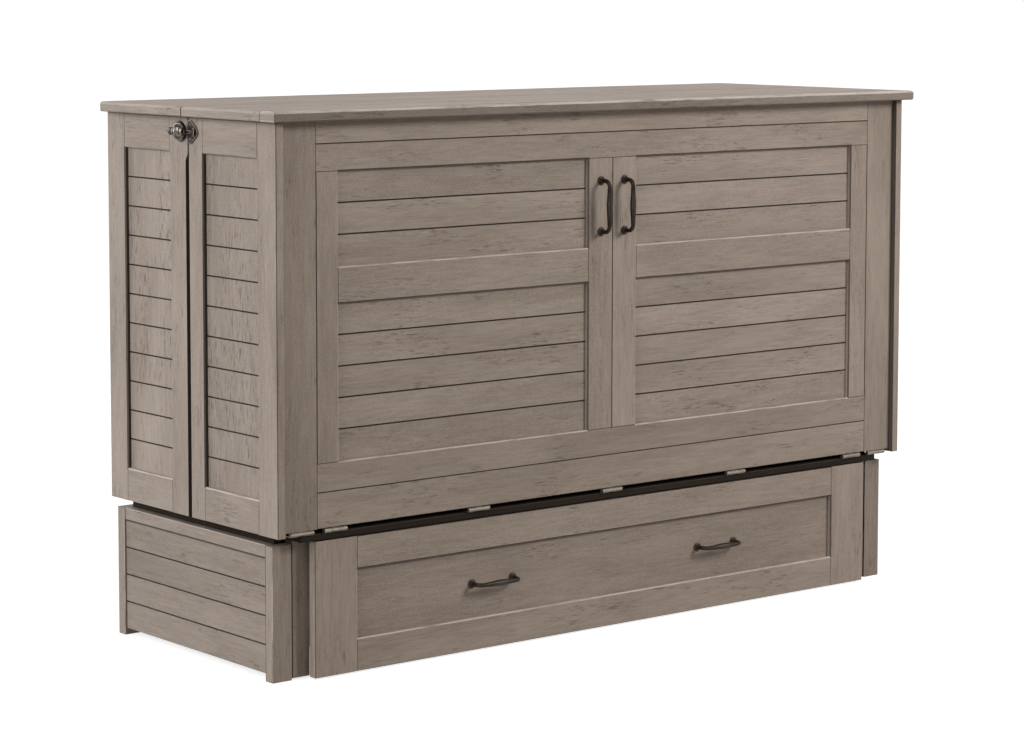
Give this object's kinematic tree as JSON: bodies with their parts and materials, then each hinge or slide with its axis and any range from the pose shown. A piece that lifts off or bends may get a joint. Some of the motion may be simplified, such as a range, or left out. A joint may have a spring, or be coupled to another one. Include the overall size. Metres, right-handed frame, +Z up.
{
  "type": "cabinet bed",
  "caption": "Sideboard that opens into a bed: the front half folds forward off a rolling slatted carriage with a drawer under it, and a folding mattress stands inside.",
  "frame": {"origin": "on the floor under the middle of the closed cabinet's overall box", "axes": "+X to the right seen from the front, +Y to the back, +Z up; the front faces -Y"},
  "size_m": [1.672, 0.609, 1.067],
  "materials": {
    "stained_wood": "grey-brown wire-brushed stain, satin lacquer",
    "plywood": "clear sealed plywood",
    "slat_wood": "planed softwood",
    "backing_board": "stained hardboard",
    "dark_bronze": "oil-rubbed bronze, rubbed through on the high spots",
    "zinc_steel": "zinc plated steel",
    "black_wheel": "moulded black plastic",
    "mattress_cover": "quilted knit mattress cover"
  },
  "bodies": {
    "base": {"rear_top": "stained_wood", "rear_left_side_frame": "stained_wood", "rear_left_side_panel": "stained_wood", "rear_right_side_frame": "stained_wood", "rear_right_side_panel": "stained_wood", "back_panel": "backing_board", "base_posts": "stained_wood", "base_side_panels": "stained_wood", "base_top_rails": "stained_wood", "base_bearers": "plywood", "base_back": "stained_wood", "head_floor": "plywood", "runner_outer_channels": "zinc_steel", "latch_plates": "dark_bronze", "mattress_middle": "mattress_cover", "mattress_head": "mattress_cover"},
    "carriage": {"carriage_legs": "stained_wood", "hinge_rail": "stained_wood", "carriage_sides": "plywood", "carriage_rear_and_centre": "plywood", "carriage_slats": "slat_wood", "runner_inner_channels": "zinc_steel", "carriage_caster_forks": "zinc_steel", "hinge_lower_leaves": "zinc_steel", "hinge_pins": "zinc_steel", "drawer_runner_channels": "zinc_steel"},
    "runner_middle": {"runner_middles": "zinc_steel"},
    "front": {"front_top_nosing": "stained_wood", "front_top": "stained_wood", "front_left_side_frame": "stained_wood", "front_left_side_panel": "stained_wood", "front_right_side_frame": "stained_wood", "front_right_side_panel": "stained_wood", "front_outer_stiles": "stained_wood", "front_upper_rails": "stained_wood", "front_lower_rails": "stained_wood", "false_door_stiles": "stained_wood", "false_door_mid_rails": "stained_wood", "false_door_panels": "stained_wood", "hinge_upper_leaves": "zinc_steel", "door_pull_left": "dark_bronze", "door_pull_right": "dark_bronze", "latch_strikes": "dark_bronze", "mattress_foot": "mattress_cover"},
    "drawer": {"drawer_front_frame": "stained_wood", "drawer_front_panel": "stained_wood", "drawer_box": "plywood", "drawer_bottom": "plywood", "drawer_runner_bars": "zinc_steel", "drawer_caster_forks": "zinc_steel", "drawer_pull_left": "dark_bronze", "drawer_pull_right": "dark_bronze"},
    "latch_lever_left": {"latch_lever_left": "dark_bronze"},
    "latch_lever_right": {"latch_lever_right": "dark_bronze"},
    "carriage_wheel_front_left": {"carriage_wheel_front_left": "black_wheel"},
    "carriage_wheel_front_right": {"carriage_wheel_front_right": "black_wheel"},
    "carriage_wheel_rear_left": {"carriage_wheel_rear_left": "black_wheel"},
    "carriage_wheel_rear_right": {"carriage_wheel_rear_right": "black_wheel"},
    "drawer_wheel_left": {"drawer_wheel_left": "black_wheel"},
    "drawer_wheel_right": {"drawer_wheel_right": "black_wheel"}
  },
  "joints": [
    {"name": "carriage_slide", "type": "slide", "parent": "base", "child": "carriage", "axis": [0, -1, 0], "range_m": [0, 0.7144]},
    {"name": "runner_middle_slide", "type": "slide", "parent": "base", "child": "runner_middle", "axis": [0, -1, 0], "range_m": [0, 0.3572]},
    {"name": "front_fold", "type": "hinge", "parent": "carriage", "child": "front", "pos_m": [0, -0.2715, 0.2814], "axis": [1, 0, 0], "range_deg": [0, 90]},
    {"name": "drawer_slide", "type": "slide", "parent": "carriage", "child": "drawer", "axis": [0, -1, 0], "range_m": [0, 0.4]},
    {"name": "latch_left_turn", "type": "hinge", "parent": "base", "child": "latch_lever_left", "pos_m": [-0.82, 0.0385, 1.018], "axis": [-1, 0, 0], "range_deg": [0, 25]},
    {"name": "latch_right_turn", "type": "hinge", "parent": "base", "child": "latch_lever_right", "pos_m": [0.82, 0.0385, 1.018], "axis": [-1, 0, 0], "range_deg": [0, 25]},
    {"name": "carriage_wheel_front_left_turn", "type": "hinge", "parent": "carriage", "child": "carriage_wheel_front_left", "pos_m": [-0.729, -0.1795, 0.02], "axis": [1, 0, 0], "continuous": true},
    {"name": "carriage_wheel_front_right_turn", "type": "hinge", "parent": "carriage", "child": "carriage_wheel_front_right", "pos_m": [0.729, -0.1795, 0.02], "axis": [1, 0, 0], "continuous": true},
    {"name": "carriage_wheel_rear_left_turn", "type": "hinge", "parent": "carriage", "child": "carriage_wheel_rear_left", "pos_m": [-0.729, 0.2385, 0.02], "axis": [1, 0, 0], "continuous": true},
    {"name": "carriage_wheel_rear_right_turn", "type": "hinge", "parent": "carriage", "child": "carriage_wheel_rear_right", "pos_m": [0.729, 0.2385, 0.02], "axis": [1, 0, 0], "continuous": true},
    {"name": "drawer_wheel_left_turn", "type": "hinge", "parent": "drawer", "child": "drawer_wheel_left", "pos_m": [-0.6725, -0.2195, 0.02], "axis": [1, 0, 0], "continuous": true},
    {"name": "drawer_wheel_right_turn", "type": "hinge", "parent": "drawer", "child": "drawer_wheel_right", "pos_m": [0.6725, -0.2195, 0.02], "axis": [1, 0, 0], "continuous": true}
  ],
  "couplings": [
    {"joint": "runner_middle_slide", "follows": "carriage_slide", "ratio": 0.5}
  ]
}
